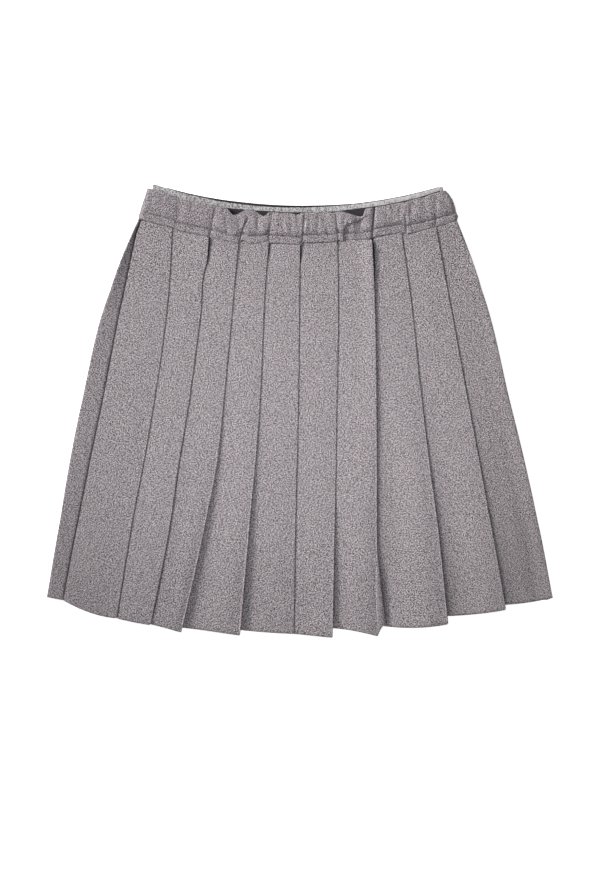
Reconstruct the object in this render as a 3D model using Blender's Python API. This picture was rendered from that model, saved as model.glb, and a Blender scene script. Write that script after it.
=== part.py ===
"""Knife-pleated mini skort in grey melange flannel, laid flat with its front up.

The back skirt lies on the surface with its pleats stacked upwards, the dark inner shorts lie on it and
the front skirt lies on them.  A doubled waistband stands above each skirt: the front one is gathered by
the elastic inside it, and a pale elastic runs along the inside of the back one.

+X is the wearer's left, +Y runs from hem to waist and +Z is up from the surface.  Units are metres;
the tables are in millimetres.
"""

import math
from collections import namedtuple

import bmesh
import bpy
import numpy as np

MM = 0.001

# Cloth and how it is stacked.
FLANNEL = 1.0 * MM          # wall of one layer of skirt cloth
LAYER = 1.4 * MM            # rise from one folded layer to the next
FOLD_RADIUS = LAYER / 2     # of the centre line, at every pressed fold
JERSEY = 1.0 * MM           # wall of the shorts
GAP = 0.3 * MM              # clearance left at every seam
SEAM_CLEARANCE = 0.2 * MM   # each side of a curved waist seam

# Pleats.
DEPTH_WAIST = 15.0 * MM     # how far a pleat is tucked under its fold at the waist
DEPTH_HEM = 18.0 * MM       # and at the hem
SIDE_TURN = 2.4 * MM        # how far a side fold of the whole skirt rolls in
SIDE_RETURN = 15.0 * MM     # front cloth that wraps round the wearer's left side to the side seam
SIDE_SEAM_HEM = -189.5 * MM     # lower end of that seam
EDGE_RETURN = 12.0 * MM     # cloth tucked behind the front's first fold, up to the other side seam
EDGE_CLEARANCE = 0.25 * MM  # extra room under that tucked cloth
TUCK_RISE = 2.0 * MM        # hidden hems stay this much above the hem that covers them
DESCENT = 9.0 * MM          # width over which a back panel comes down beside its neighbour's fold

# A fold runs through these shares of the skirt's length; the inner three lie at fixed heights in Y.
STATIONS = (0.0, 0.15, 0.43, 0.75, 1.0)
LEVEL_UPPER = 121.0 * MM
LEVEL_MIDDLE = 11.0 * MM
LEVEL_LOWER = -109.0 * MM
ROWS = (0.0, 0.07, 0.15, 0.43, 0.75, 0.84, 1.0)     # rings of the skirt meshes

# The front's folds from the wearer's right to left.  x at the five stations; hem_y is the corner that
# the fold makes at the hem; step is how much higher the next panel's hem starts; bow bends the hem of
# the panel before the fold; lift raises the fold's corner and roll opens its edge at the hem.
Fold = namedtuple("Fold", "waist upper middle lower hem hem_y step bow lift roll")
FRONT_FOLDS = (
    Fold(-161.0, -177.3, -198.0, -222.2, -237.6, -188.6, 0.0, 0.0, 0.0, 0.0),
    Fold(-127.3, -131.3, -145.2, -167.2, -183.5, -207.5, 0.0, -3.5, 0.8, 0.0),
    Fold(-91.3, -97.0, -110.4, -128.4, -148.8, -214.1, 0.5, -0.6, 0.8, 0.0),
    Fold(-61.3, -65.7, -76.0, -95.5, -118.0, -221.8, 4.6, 0.4, 3.5, 0.0),
    Fold(-30.7, -34.7, -39.6, -49.6, -59.5, -224.8, 5.1, 0.4, 2.5, 0.0),
    Fold(0.5, -0.2, -1.4, -4.2, -6.0, -223.3, 0.0, -0.3, 0.8, 0.0),
    Fold(37.7, 38.6, 37.2, 35.1, 33.0, -226.9, 9.2, 0.0, 2.0, 0.0),
    Fold(72.3, 74.8, 76.0, 77.1, 78.6, -225.8, 10.7, 1.3, 4.5, 6.5),
    Fold(101.6, 110.0, 120.8, 137.3, 148.6, -213.4, 7.9, -3.0, 5.0, 0.0),
    Fold(136.1, 147.7, 168.0, 190.3, 206.2, -199.1, 4.9, -1.2, 3.5, 0.0),
    Fold(157.4, 181.9, 209.7, 237.7, 253.3, -187.7, 0.0, -1.0, 0.0, 0.0),
)
# The wearer's right side, where the back's last panel folds up and shows beside the front.
RIGHT_SIDE = Fold(-161.6, -189.7, -218.0, -240.1, -253.4, -185.4, 0.0, 0.0, 0.0, 0.0)

# Hem of the back skirt: a shallow arch, hidden behind the front's hem.
BACK_HEM_MIDDLE = -210.0 * MM
BACK_HEM_RISE = 25.0 * MM   # at half the skirt's width
BACK_HEM_HALF_WIDTH = 253.0 * MM

# Waist lines, each an arc that sinks at the middle: lowest Y and radius.
Arc = namedtuple("Arc", "low radius")
FRONT_SEAM = Arc(166.0 * MM, 540.0 * MM)
BACK_SEAM = Arc(172.0 * MM, 707.0 * MM)
FRONT_TOP = Arc(198.0 * MM, 487.0 * MM)
BACK_TOP = Arc(204.3 * MM, 504.0 * MM)

# Waistbands: the two ends at the seam and at the top, and their levels above the surface.
BAND_LEFT_SEAM = -161.4 * MM
BAND_LEFT_TOP = -152.8 * MM
BAND_RIGHT_SEAM = 157.2 * MM
BAND_RIGHT_TOP = 145.9 * MM
BAND_TURN = 5.0 * MM        # outer radius of the fold at each end
BAND_INNER_TURN = 6.0 * MM  # where the inner face comes level
BAND_CORNER_DROP = 3.5 * MM     # the back's top edge comes down to the front's at each end
BAND_WALL = 3.0 * MM
BACK_BAND_TOP = 3.0 * MM    # level of its inner face
SIDE_SEAM_LEVEL = 5.4 * MM
FRONT_BAND_INNER = 7.3 * MM
FRONT_BAND_OUTER = 10.8 * MM
END_STEPS = 4               # facets round a band's end

# Gathers of the front waistband: where each crosses the top edge and the seam, how far it pulls the top
# edge down, how deep its groove is and how wide.
Gather = namedtuple("Gather", "top seam dip depth width")
GATHERS = (
    Gather(-124.0, -124.5, 0.6, 0.6, 6.0),
    Gather(-86.0, -90.5, 0.8, 1.1, 3.5),
    Gather(-67.5, -60.5, 5.0, 1.6, 5.0),
    Gather(-36.0, -30.5, 2.8, 1.2, 4.0),
    Gather(1.0, 2.5, 1.3, 1.2, 4.0),
    Gather(36.0, 38.5, 0.4, 0.9, 3.5),
    Gather(62.0, 44.0, 7.0, 1.8, 5.5),
    Gather(75.0, 73.5, 0.4, 1.9, 3.0),
    Gather(105.5, 106.0, 0.6, 0.9, 3.5),
    Gather(134.0, 135.5, 0.8, 0.8, 5.0),
)
BAND_FACETS = 60            # along each band, about 5 mm wide

# Pale elastic along the inside of the back waistband.
ELASTIC_WIDTH = 24.0 * MM
ELASTIC_BELOW_TOP = 1.5 * MM
ELASTIC_LEVEL = 3.3 * MM
ELASTIC_WALL = 1.0 * MM
ELASTIC_END_INSET = 8.0 * MM

# Inner shorts, cut as four plain panels.
SHORTS_BELOW_TOP = 7.0 * MM     # of the back pair's top edge under the back waistband's edge
SHORTS_BELOW_FRONT = 9.0 * MM   # of the front pair's top edge under the front waistband's edge
SHORTS_BACK_LEVEL = 4.6 * MM
SHORTS_FRONT_LEVEL = 5.9 * MM
CROTCH_Y = -47.0 * MM
LEG_HEM_Y = -135.0 * MM
LEG_INNER_HEM = 18.0 * MM       # half the distance between the legs at their hems
# Half width of the shorts at falling heights; the first row is the top edge.
Girth = namedtuple("Girth", "y half_width")
SHORTS_GIRTHS = (
    Girth(215.0, 137.0),
    Girth(180.0, 146.0),
    Girth(60.0, 160.0),
    Girth(-47.0, 176.0),
    Girth(-135.0, 188.0),
)

# Level that the front skirt lies at, over the shorts and beside them.
REST_BESIDE = 4.2 * MM
REST_OVER = 7.3 * MM
REST_SLOPE = 26.0 * MM      # width of the slope between the two
REST_MARGIN = 14.0 * MM     # the slope starts this far outside the shorts


def ramp(share):
    """Smooth step from 0 to 1."""
    t = min(max(share, 0.0), 1.0)
    return t * t * (3.0 - 2.0 * t)


def arc_y(arc, x):
    return arc.low + arc.radius - math.sqrt(arc.radius ** 2 - x ** 2)


def fold_x(fold, v):
    """x of a fold at share v of the length: a cubic curve through its five station values."""
    values = np.array(fold[:5]) * MM
    slopes = np.gradient(values, STATIONS)
    k = min(int(np.searchsorted(STATIONS, v, side="right")) - 1, len(STATIONS) - 2)
    span = STATIONS[k + 1] - STATIONS[k]
    t = (v - STATIONS[k]) / span
    start = (1 + 2 * t) * (1 - t) ** 2 * values[k] + t * (1 - t) ** 2 * span * slopes[k]
    end = t * t * (3 - 2 * t) * values[k + 1] - t * t * (1 - t) * span * slopes[k + 1]
    return start + end


def level_y(waist_y, hem_y, v):
    """y at share v of the length, for a point whose seam and hem heights are given."""
    return float(np.interp(v, STATIONS, (waist_y, LEVEL_UPPER, LEVEL_MIDDLE, LEVEL_LOWER, hem_y)))


def pleat_depth(v):
    return DEPTH_WAIST + (DEPTH_HEM - DEPTH_WAIST) * v


def shorts_half_width(y):
    rows = SHORTS_GIRTHS[::-1]
    return float(np.interp(y, [row.y * MM for row in rows], [row.half_width * MM for row in rows]))


def rest_height(x, y):
    """Level of what lies under the front skirt: the shorts where they are, else the back skirt."""
    across = ramp((shorts_half_width(y) + REST_MARGIN + REST_SLOPE - abs(x)) / REST_SLOPE)
    along = ramp((y - LEG_HEM_Y + REST_MARGIN + REST_SLOPE) / REST_SLOPE)
    return REST_BESIDE + (REST_OVER - REST_BESIDE) * across * along


def hem_opening(v):
    """Share of a fold's lift and roll at v: none above the middle, all at the hem."""
    return ramp((v - 0.6) / 0.4)


def skirt_y(x, hem_y, v, seam_arc):
    """y of skirt cloth at x and share v of the length, just under its waistband's seam."""
    return level_y(arc_y(seam_arc, x) - SEAM_CLEARANCE, hem_y, v)


def side_turn(side, inward, hem_y, v):
    """Points down round a side fold of the whole skirt; inward is the direction of its middle."""
    upper = rest_height(side, skirt_y(side, hem_y, v, FRONT_SEAM)) + FLANNEL / 2
    lower = FLANNEL / 2
    points = []
    for angle in np.linspace(math.pi / 2, -math.pi / 2, 6):
        x = side + inward * SIDE_TURN * (1 - math.cos(angle))
        y = skirt_y(x, hem_y, v, FRONT_SEAM if angle > 0 else BACK_SEAM)
        points.append((x, y, (upper + lower) / 2 + (upper - lower) / 2 * math.sin(angle)))
    return points


def panel_hem(before, after, share):
    """Hem height on the panel between two front folds, share 0 at the first and 1 at the second."""
    start = (before.hem_y + before.step) * MM
    bow = 4 * after.bow * MM * share * (1 - share)
    return start + (after.hem_y * MM - start) * share + bow


def front_section(v):
    """Front skirt at share v, from the side seam behind its first fold to the one under its last."""
    points = []
    depth = pleat_depth(v)
    opening = hem_opening(v)

    def put(x, hem_y, layer, raised=0.0):
        y = skirt_y(x, hem_y, v, FRONT_SEAM)
        points.append((x, y, rest_height(x, y) + FLANNEL / 2 + layer * LAYER + raised))

    # The first fold opens to the right: tucked layer below, first panel above.
    first = FRONT_FOLDS[0]
    edge = fold_x(first, v)
    put(edge + EDGE_RETURN, first.hem_y * MM, 1)
    for angle in np.linspace(-math.pi / 2, math.pi / 2, 4):
        put(edge + FOLD_RADIUS * (1 - math.cos(angle)), first.hem_y * MM, 1.5 + 0.5 * math.sin(angle))

    start_layer = 2.0       # the first panel starts on top of its fold, the others at the bottom
    for before, after in zip(FRONT_FOLDS, FRONT_FOLDS[1:-1]):
        left = fold_x(before, v)
        right = fold_x(after, v)
        inner = right - depth
        lift = after.lift * MM * opening
        roll = after.roll * MM * opening
        # Visible panel: it leaves the fold before at the lower level and climbs over its own tuck.
        start = left + before.roll * MM * opening + 1.0 * MM
        for share in (0.0, 0.5, 1.0):
            x = start + (inner - 2.0 * MM - start) * share
            across = (x - left) / (right - left)
            layer = start_layer + (2 - start_layer) * ramp(share)
            put(x, panel_hem(before, after, across), layer, lift * across ** 2)
        # Fold, then the tucked layer back to the inner fold.
        corner = after.hem_y * MM
        rise = after.step * MM if after.roll else 0.0
        for angle in np.linspace(math.pi / 2, -math.pi / 2, 4):
            reach = FOLD_RADIUS * (math.cos(angle) - 1) + roll * math.cos(angle)
            drop = rise * (math.cos(angle) if angle > 0 else 1.0)
            lifted = lift * (0.75 + 0.25 * math.sin(angle))
            put(right + reach, corner + drop, 1.5 + 0.5 * math.sin(angle), lifted)
        tucked = max(panel_hem(before, after, 1 - depth / (right - left)), corner + after.step * MM)
        for angle in np.linspace(math.pi / 2, -math.pi / 2, 4):
            put(inner + FOLD_RADIUS * (1 - math.cos(angle)), tucked + TUCK_RISE, 0.5 + 0.5 * math.sin(angle))
        start_layer = 0.0

    # Last panel, round the wearer's left side and back under to the side seam.
    before, last = FRONT_FOLDS[-2:]
    left = fold_x(before, v)
    side = fold_x(last, v)
    for share in (0.03, 0.5):
        put(left + (side - left) * share, panel_hem(before, last, share), 0)
    points.extend(side_turn(side, -1, last.hem_y * MM, v))
    seam = side - SIDE_RETURN
    points.append((seam, skirt_y(seam, SIDE_SEAM_HEM, v, BACK_SEAM), FLANNEL / 2))
    return points


def back_hem(x):
    return BACK_HEM_MIDDLE + BACK_HEM_RISE * (x / BACK_HEM_HALF_WIDTH) ** 2


def back_section(v):
    """Back skirt at share v, from the wearer's left side seam round to the right one.

    Seen from the back its pleats fold as the front's do, so its folds lie at the front's places turned
    over, and its last panel folds up at the wearer's right side and shows beside the front.
    """
    points = []
    depth = pleat_depth(v)
    floor = FLANNEL / 2

    def put(x, hem_y, layer):
        points.append((x, skirt_y(x, hem_y, v, BACK_SEAM), floor + layer * LAYER))

    put(fold_x(FRONT_FOLDS[-1], v) - SIDE_RETURN - GAP, SIDE_SEAM_HEM, 0)
    for fold in FRONT_FOLDS[1:-1]:
        edge = -fold_x(fold, v)
        inner = edge + depth
        for angle in np.linspace(-math.pi / 2, math.pi / 2, 4):
            x = edge + FOLD_RADIUS * (1 - math.cos(angle))
            put(x, back_hem(x), 0.5 + 0.5 * math.sin(angle))
        for angle in np.linspace(-math.pi / 2, math.pi / 2, 4):
            x = inner - FOLD_RADIUS * (1 - math.cos(angle))
            put(x, back_hem(x) + TUCK_RISE, 1.5 + 0.5 * math.sin(angle))
        for share in (0.0, 0.5, 1.0):
            x = edge - 1.0 * MM - DESCENT * share
            put(x, back_hem(x) + TUCK_RISE * (1 - share), 2 * (1 - ramp(share)))
    # Up round the wearer's right side and across to the seam behind the front's first fold.
    points.extend(side_turn(fold_x(RIGHT_SIDE, v), 1, RIGHT_SIDE.hem_y * MM, v)[::-1])
    edge = fold_x(FRONT_FOLDS[0], v)
    for x in (edge + FOLD_RADIUS, edge + EDGE_RETURN):
        y = skirt_y(x, FRONT_FOLDS[0].hem_y * MM, v, FRONT_SEAM)
        points.append((x, y, rest_height(x, y) + FLANNEL / 2 - EDGE_CLEARANCE))
    return points


def thicken(points, wall):
    """Two lines of points, half a wall to each side of a section's centre line."""
    line = np.array(points)
    steps = np.diff(line[:, [0, 2]], axis=0)
    normals = np.stack([-steps[:, 1], steps[:, 0]], axis=1)
    normals /= np.linalg.norm(normals, axis=1, keepdims=True)
    before = np.vstack([normals[:1], normals])
    after = np.vstack([normals, normals[-1:]])
    middle = before + after
    middle /= np.linalg.norm(middle, axis=1, keepdims=True)
    mitre = 1.0 / np.maximum(np.sum(middle * after, axis=1), 0.8)
    offset = np.zeros_like(line)
    offset[:, [0, 2]] = middle * mitre[:, None] * wall / 2
    return line + offset, line - offset


def cloth_material(name, color, roughness):
    material = bpy.data.materials.new(name)
    material.use_nodes = True
    shader = material.node_tree.nodes["Principled BSDF"]
    shader.inputs["Base Color"].default_value = (*color, 1.0)
    shader.inputs["Roughness"].default_value = roughness
    shader.inputs["Metallic"].default_value = 0.0
    return material


def closed_wall(name, face_a, face_b, material):
    """One closed body between two grids of points of the same size, columns by rows."""
    face_a = np.array(face_a)
    face_b = np.array(face_b)
    columns, rows = face_a.shape[0] - 1, face_a.shape[1] - 1
    bm = bmesh.new()
    bmesh.ops.create_grid(bm, x_segments=columns, y_segments=rows, size=1.0)
    lifted = bmesh.ops.extrude_face_region(bm, geom=bm.faces[:], use_keep_orig=True)
    copies = {item for item in lifted["geom"] if isinstance(item, bmesh.types.BMVert)}
    for vert in bm.verts:
        column = round((vert.co.x + 1) / 2 * columns)
        row = round((vert.co.y + 1) / 2 * rows)
        face = face_b if vert in copies else face_a
        vert.co = face[column, row]
    bmesh.ops.recalc_face_normals(bm, faces=bm.faces[:])
    mesh = bpy.data.meshes.new(name)
    bm.to_mesh(mesh)
    bm.free()
    mesh.materials.append(material)
    piece = bpy.data.objects.new(name, mesh)
    bpy.context.scene.collection.objects.link(piece)
    return piece


def skirt(name, section_at, material):
    """A pleated skirt panel, from its sections at ROWS."""
    pairs = [thicken(section_at(v), FLANNEL) for v in ROWS]
    face_a = np.stack([pair[0] for pair in pairs], axis=1)
    face_b = np.stack([pair[1] for pair in pairs], axis=1)
    return closed_wall(name, face_a, face_b, material)


def band_ends(share):
    """x of a waistband's two ends, share 0 at the seam and 1 at the top edge."""
    left = BAND_LEFT_SEAM + (BAND_LEFT_TOP - BAND_LEFT_SEAM) * share
    right = BAND_RIGHT_SEAM + (BAND_RIGHT_TOP - BAND_RIGHT_SEAM) * share
    return left, right


def band_columns(share, seam_level, outer_level, inner_level):
    """x and z of a waistband's outer and inner faces: round one end, along, and round the other."""
    left, right = band_ends(share)
    ends = []
    for end, inward in ((left, 1), (right, -1)):
        side = []
        for angle in np.linspace(0.0, math.pi / 2, END_STEPS + 1):
            across = 1 - math.cos(angle)
            up = math.sin(angle)
            outer_x = end + inward * BAND_TURN * across
            inner_x = end + inward * (BAND_WALL + (BAND_INNER_TURN - BAND_WALL) * across)
            outer = (outer_x, seam_level + (outer_level - seam_level) * up)
            inner = (inner_x, seam_level + (inner_level - seam_level) * up)
            side.append((outer, inner))
        ends.append(side)
    run = []
    for along in np.linspace(0.0, 1.0, BAND_FACETS + 1)[1:-1]:
        x = left + BAND_TURN + (right - left - 2 * BAND_TURN) * along
        run.append(((x, outer_level), (x, inner_level)))
    return ends[0] + run + ends[1][::-1]


def gather_at(x, share):
    """Depth of the front waistband's gathers at x, share 0 at the seam and 1 at the top edge."""
    depth = 0.0
    for gather in GATHERS:
        centre = (gather.seam + (gather.top - gather.seam) * share) * MM
        depth += gather.depth * MM * math.exp(-((x - centre) / (gather.width * MM)) ** 2)
    return depth


def gather_dip(x):
    """How far the gathers pull the front waistband's top edge down at x."""
    dip = 0.0
    for gather in GATHERS:
        dip += gather.dip * MM * math.exp(-((x - gather.top * MM) / (gather.width * MM)) ** 2)
    return dip


def waistband(name, shares, levels, place, material):
    """A waistband from its rows at shares of its height.

    levels are those of the side seams, the outer face and the inner face.  place gives, for x and a
    share, the y of a point and the depth of the groove there.
    """
    outer_face = []
    inner_face = []
    for share in shares:
        outer_row = []
        inner_row = []
        for (outer_x, outer_z), (inner_x, inner_z) in band_columns(share, *levels):
            y, groove = place(outer_x, share)
            outer_row.append((outer_x, y, outer_z - groove))
            inner_row.append((inner_x, y, inner_z))
        outer_face.append(outer_row)
        inner_face.append(inner_row)
    outer_face = np.array(outer_face).transpose(1, 0, 2)
    inner_face = np.array(inner_face).transpose(1, 0, 2)
    return closed_wall(name, outer_face, inner_face, material)


def front_band_place(x, share):
    seam_y = arc_y(FRONT_SEAM, x) + SEAM_CLEARANCE
    top_y = arc_y(FRONT_TOP, x) - gather_dip(x)
    return seam_y + (top_y - seam_y) * share, gather_at(x, share)


def back_band_place(x, share):
    left, right = band_ends(share)
    from_end = min(x - left, right - x)
    seam_y = arc_y(BACK_SEAM, x) + SEAM_CLEARANCE
    top_y = arc_y(BACK_TOP, x) - BAND_CORNER_DROP * (1 - ramp(from_end / BAND_TURN))
    return seam_y + (top_y - seam_y) * share, 0.0


def flat_wall(name, grid, level, wall, material):
    """A flat panel from a grid of (x, y), lying at a level and as thick as its wall."""
    lower = [[(x, y, level) for x, y in column] for column in grid]
    upper = [[(x, y, level + wall) for x, y in column] for column in grid]
    return closed_wall(name, lower, upper, material)


def waist_elastic(material):
    grid = []
    for x in np.linspace(BAND_LEFT_TOP + ELASTIC_END_INSET, BAND_RIGHT_TOP - ELASTIC_END_INSET, 25):
        top = arc_y(BACK_TOP, x) - ELASTIC_BELOW_TOP
        grid.append([(x, top - ELASTIC_WIDTH * share) for share in (0.0, 0.5, 1.0)])
    return flat_wall("waist_elastic", grid, ELASTIC_LEVEL, ELASTIC_WALL, material)


def shorts_panel(name, side, top_arc, below, level, material):
    """One of the four shorts panels; side is +1 for the wearer's left and -1 for the right."""
    grid = []
    for across in np.linspace(0.0, 1.0, 6):
        column = []
        for row in SHORTS_GIRTHS:
            inner = GAP / 2
            if row.y * MM < CROTCH_Y:
                inner = LEG_INNER_HEM
            x = inner + (row.half_width * MM - inner) * across
            y = row.y * MM
            if row is SHORTS_GIRTHS[0]:
                y = arc_y(top_arc, x) - below
            column.append((side * x, y))
        grid.append(column)
    return flat_wall(name, grid, level, JERSEY, material)


for item in list(bpy.data.objects):
    bpy.data.objects.remove(item, do_unlink=True)

flannel = cloth_material("grey_melange_flannel", (0.34, 0.31, 0.325), 0.9)
band_flannel = cloth_material("grey_band_flannel", (0.32, 0.29, 0.305), 0.9)
elastic = cloth_material("pale_knitted_elastic", (0.46, 0.44, 0.45), 0.7)
jersey = cloth_material("charcoal_jersey", (0.035, 0.032, 0.034), 0.85)

skirt("back_skirt", back_section, flannel)
skirt("front_skirt", front_section, flannel)
waistband("back_waistband", (0.0, 0.5, 1.0), (SIDE_SEAM_LEVEL - GAP / 2, 0.0, BACK_BAND_TOP),
          back_band_place, band_flannel)
waistband("front_waistband", (0.0, 0.3, 0.65, 1.0),
          (SIDE_SEAM_LEVEL + GAP / 2, FRONT_BAND_OUTER, FRONT_BAND_INNER), front_band_place, band_flannel)
waist_elastic(elastic)
shorts_panel("shorts_back_left", 1, BACK_TOP, SHORTS_BELOW_TOP, SHORTS_BACK_LEVEL, jersey)
shorts_panel("shorts_back_right", -1, BACK_TOP, SHORTS_BELOW_TOP, SHORTS_BACK_LEVEL, jersey)
shorts_panel("shorts_front_left", 1, FRONT_TOP, SHORTS_BELOW_FRONT, SHORTS_FRONT_LEVEL, jersey)
shorts_panel("shorts_front_right", -1, FRONT_TOP, SHORTS_BELOW_FRONT, SHORTS_FRONT_LEVEL, jersey)
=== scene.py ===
"""Knife-pleated mini skort in grey melange flannel, laid flat with its front up.

A pleated skirt with dark jersey shorts inside.  The back skirt lies on the table, the shorts on it and the
front skirt on top.  +X is the wearer's left, +Y runs from hem to waist, +Z is up, and lengths are metres.
"""

import math
from collections import namedtuple
import bmesh
import bpy
import numpy as np
from mathutils import Matrix, Vector, noise


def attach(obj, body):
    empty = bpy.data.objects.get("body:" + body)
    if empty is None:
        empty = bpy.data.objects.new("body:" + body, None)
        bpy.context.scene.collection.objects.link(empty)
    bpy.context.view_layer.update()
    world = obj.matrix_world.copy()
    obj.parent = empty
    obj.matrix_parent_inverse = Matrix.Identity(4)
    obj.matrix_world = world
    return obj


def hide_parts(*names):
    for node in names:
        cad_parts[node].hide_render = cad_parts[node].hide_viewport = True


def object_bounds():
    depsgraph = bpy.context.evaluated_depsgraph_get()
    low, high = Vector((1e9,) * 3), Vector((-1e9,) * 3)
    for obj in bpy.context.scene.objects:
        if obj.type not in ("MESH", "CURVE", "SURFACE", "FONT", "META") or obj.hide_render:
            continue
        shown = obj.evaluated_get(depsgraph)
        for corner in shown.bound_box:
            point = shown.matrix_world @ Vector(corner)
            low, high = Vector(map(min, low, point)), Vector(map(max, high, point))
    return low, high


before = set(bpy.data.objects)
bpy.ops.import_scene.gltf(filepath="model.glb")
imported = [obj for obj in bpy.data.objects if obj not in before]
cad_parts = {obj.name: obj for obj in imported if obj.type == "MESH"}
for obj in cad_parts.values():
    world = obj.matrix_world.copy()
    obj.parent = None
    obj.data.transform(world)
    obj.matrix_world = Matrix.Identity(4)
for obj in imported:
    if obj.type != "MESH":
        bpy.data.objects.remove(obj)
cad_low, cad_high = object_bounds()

MM = 0.001


# --------------------------------------------
# Table, lights and camera.  The skort lies on a white table under a broad soft light from its upper left,
# with a weaker one straight above, and is seen from straight above.

VIEW_HEIGHT = 880 * MM  # length of table that is in view
VIEW_BELOW_CENTRE = 29 * MM  # the view's middle is this much nearer the hem than the skort's
LENS = 100.0  # millimetres, as the sensor is
SENSOR = 36.0
KEY_DIRECTION = (-0.80, 0.34)
KEY_HEIGHTS = (24.0, 31.0, 39.0)  # degrees above the table, of the three lamps in the tall softbox
KEY_DISTANCE = 3.0
KEY_SIZE = 0.9
KEY_POWER = 0.82  # watts for each lamp
KEY_SPREAD = 21.0  # degrees; the softbox has a grid, so the light is strongest at its middle
KEY_AIM = (135 * MM, 42 * MM)  # where the lights point, from the skort's middle
TOP_AIM = (-40 * MM, -20 * MM)
TOP_HEIGHT = 0.4
TOP_SIZE = 0.3
TOP_POWER = 0.70
SKY_STRENGTH = 0.14
TABLE_GLOW = 0.85
TABLE_HALF = 4.0
TABLE_DROP = 0.3 * MM  # the table top is this much below the cloth


def linear(hex_colour):
    """Linear colour of an sRGB hex value."""
    channels = [int(hex_colour[i:i + 2], 16) / 255 for i in (1, 3, 5)]
    return [c / 12.92 if c <= 0.04045 else ((c + 0.055) / 1.055) ** 2.4 for c in channels] + [1.0]


def add_node(tree, kind, inputs=None, **settings):
    """A shader node with its settings, and its inputs set or linked by name or number."""
    made = tree.nodes.new("ShaderNode" + kind)
    for name, value in settings.items():
        setattr(made, name, value)
    for name, value in (inputs or {}).items():
        if isinstance(value, bpy.types.NodeSocket):
            tree.links.new(value, made.inputs[name])
        else:
            made.inputs[name].default_value = value
    return made


def new_material(name, finish):
    """A material with its shader's sockets set; the finish gives them by name."""
    material = bpy.data.materials.new(name)
    material.use_nodes = True
    shader = material.node_tree.nodes["Principled BSDF"]
    for socket, value in finish.items():
        shader.inputs[socket].default_value = value
    return material.node_tree, shader, material


def finished(bm, name, material):
    """An object with the mesh that was modelled, and its material."""
    mesh = bpy.data.meshes.new(name)
    bm.to_mesh(mesh)
    bm.free()
    mesh.materials.append(material)
    piece = bpy.data.objects.new(name, mesh)
    bpy.context.scene.collection.objects.link(piece)
    return piece


def area_light(name, place, target, size, power, colour, spread=180.0):
    """A round lamp that points at a target, with its spread in degrees."""
    light = bpy.data.lights.new(name, "AREA")
    light.shape = "DISK"
    light.size = size
    light.energy = power
    light.spread = math.radians(spread)
    light.color = linear(colour)[:3]
    lamp = bpy.data.objects.new(name, light)
    lamp.location = place
    lamp.rotation_euler = (Vector(target) - Vector(place)).to_track_quat("-Z", "Y").to_euler()
    lamp.visible_camera = False
    bpy.context.scene.collection.objects.link(lamp)


middle = (Vector(cad_low) + Vector(cad_high)) / 2
camera = bpy.data.cameras.new("camera")
camera.lens = LENS
camera.sensor_width = SENSOR
camera_object = bpy.data.objects.new("camera", camera)
camera_object.location = middle + Vector((0.0, -VIEW_BELOW_CENTRE, VIEW_HEIGHT * LENS / SENSOR))
bpy.context.scene.collection.objects.link(camera_object)
bpy.context.scene.camera = camera_object

aim = middle + Vector((*KEY_AIM, 0.0))
for height in KEY_HEIGHTS:
    level = math.radians(height)
    key = Vector((*(Vector(KEY_DIRECTION).normalized() * math.cos(level)), math.sin(level)))
    key *= KEY_DISTANCE
    area_light("key_light", aim + key, aim, KEY_SIZE, KEY_POWER, "#fffdfb", KEY_SPREAD)
aim = middle + Vector((*TOP_AIM, 0.0))
area_light("top_light", aim + Vector((0.0, 0.0, TOP_HEIGHT)), aim, TOP_SIZE, TOP_POWER, "#fbfcff")
world = bpy.data.worlds.new("studio")
world.use_nodes = True
world.node_tree.nodes["Background"].inputs["Color"].default_value = linear("#fbfbff")
world.node_tree.nodes["Background"].inputs["Strength"].default_value = SKY_STRENGTH
bpy.context.scene.world = world
bpy.context.scene.view_settings.view_transform = "Standard"

# Opal acrylic, cast and matt, lit from below: it glows evenly, so that shadows on it stay faint.
opal_acrylic = new_material("opal_cast_acrylic", {
    "Base Color": linear("#f8f8f8"), "Roughness": 0.85, "Specular IOR Level": 0.1,
    "Emission Color": linear("#ffffff"), "Emission Strength": TABLE_GLOW})[2]
bm = bmesh.new()
bmesh.ops.create_grid(bm, x_segments=1, y_segments=1, size=TABLE_HALF)
bmesh.ops.translate(bm, verts=bm.verts, vec=(0.0, 0.0, -TABLE_DROP))
finished(bm, "table_top", opal_acrylic)


# --------------------------------------------
# Front skirt.  Brushed wool-blend flannel, spun from pale and charcoal fibres that were mixed before
# spinning.  Ten panels are pressed into knife pleats that face the wearer's left, and caught in the
# waistband's seam.  The pleats lie flat at the waist and stand up in soft waves at the hem.

FLANNEL = 0.46 * MM  # wall of the cloth
FRONT_LAYER = 0.54 * MM  # rise from one folded layer to the next
DEPTH_WAIST = 15 * MM  # how far a pleat is tucked under its fold at the waist
DEPTH_HEM = 18 * MM
SIDE_TURN = 1.1 * MM  # how far a side fold of the whole skirt rolls in
SIDE_RETURN = 15 * MM
SIDE_SEAM_HEM = -189.5 * MM
EDGE_RETURN = 12 * MM  # cloth tucked behind the front's first fold
TUCK_RISE = 2 * MM  # hidden hems stay this much above the hem that covers them
HEM_CORNER = 1.6 * MM  # radius of a hem corner at a fold
HEM_LIFT = 0.7  # share of that radius that the corner itself is higher
HEM_EDGE = 1.8 * MM  # the pressed hem rounds off over this width
HEM_DROOP = 0.8 * MM  # and by this much
LIP_WIDTH = 1.7 * MM  # the pressed edge of a standing pleat curls up over this width
LIP_SHARE = 0.3  # and by this share of the height that the edge stands off
CREASE_SHARE = 0.07  # a rolled edge keeps its pressed crease, this share of the roll high
ROLL_START = 0.82  # share of the length at which a rolled edge starts to open
ROLL_DROP = 0.55  # its cloth turns down by this share of the roll
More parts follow.
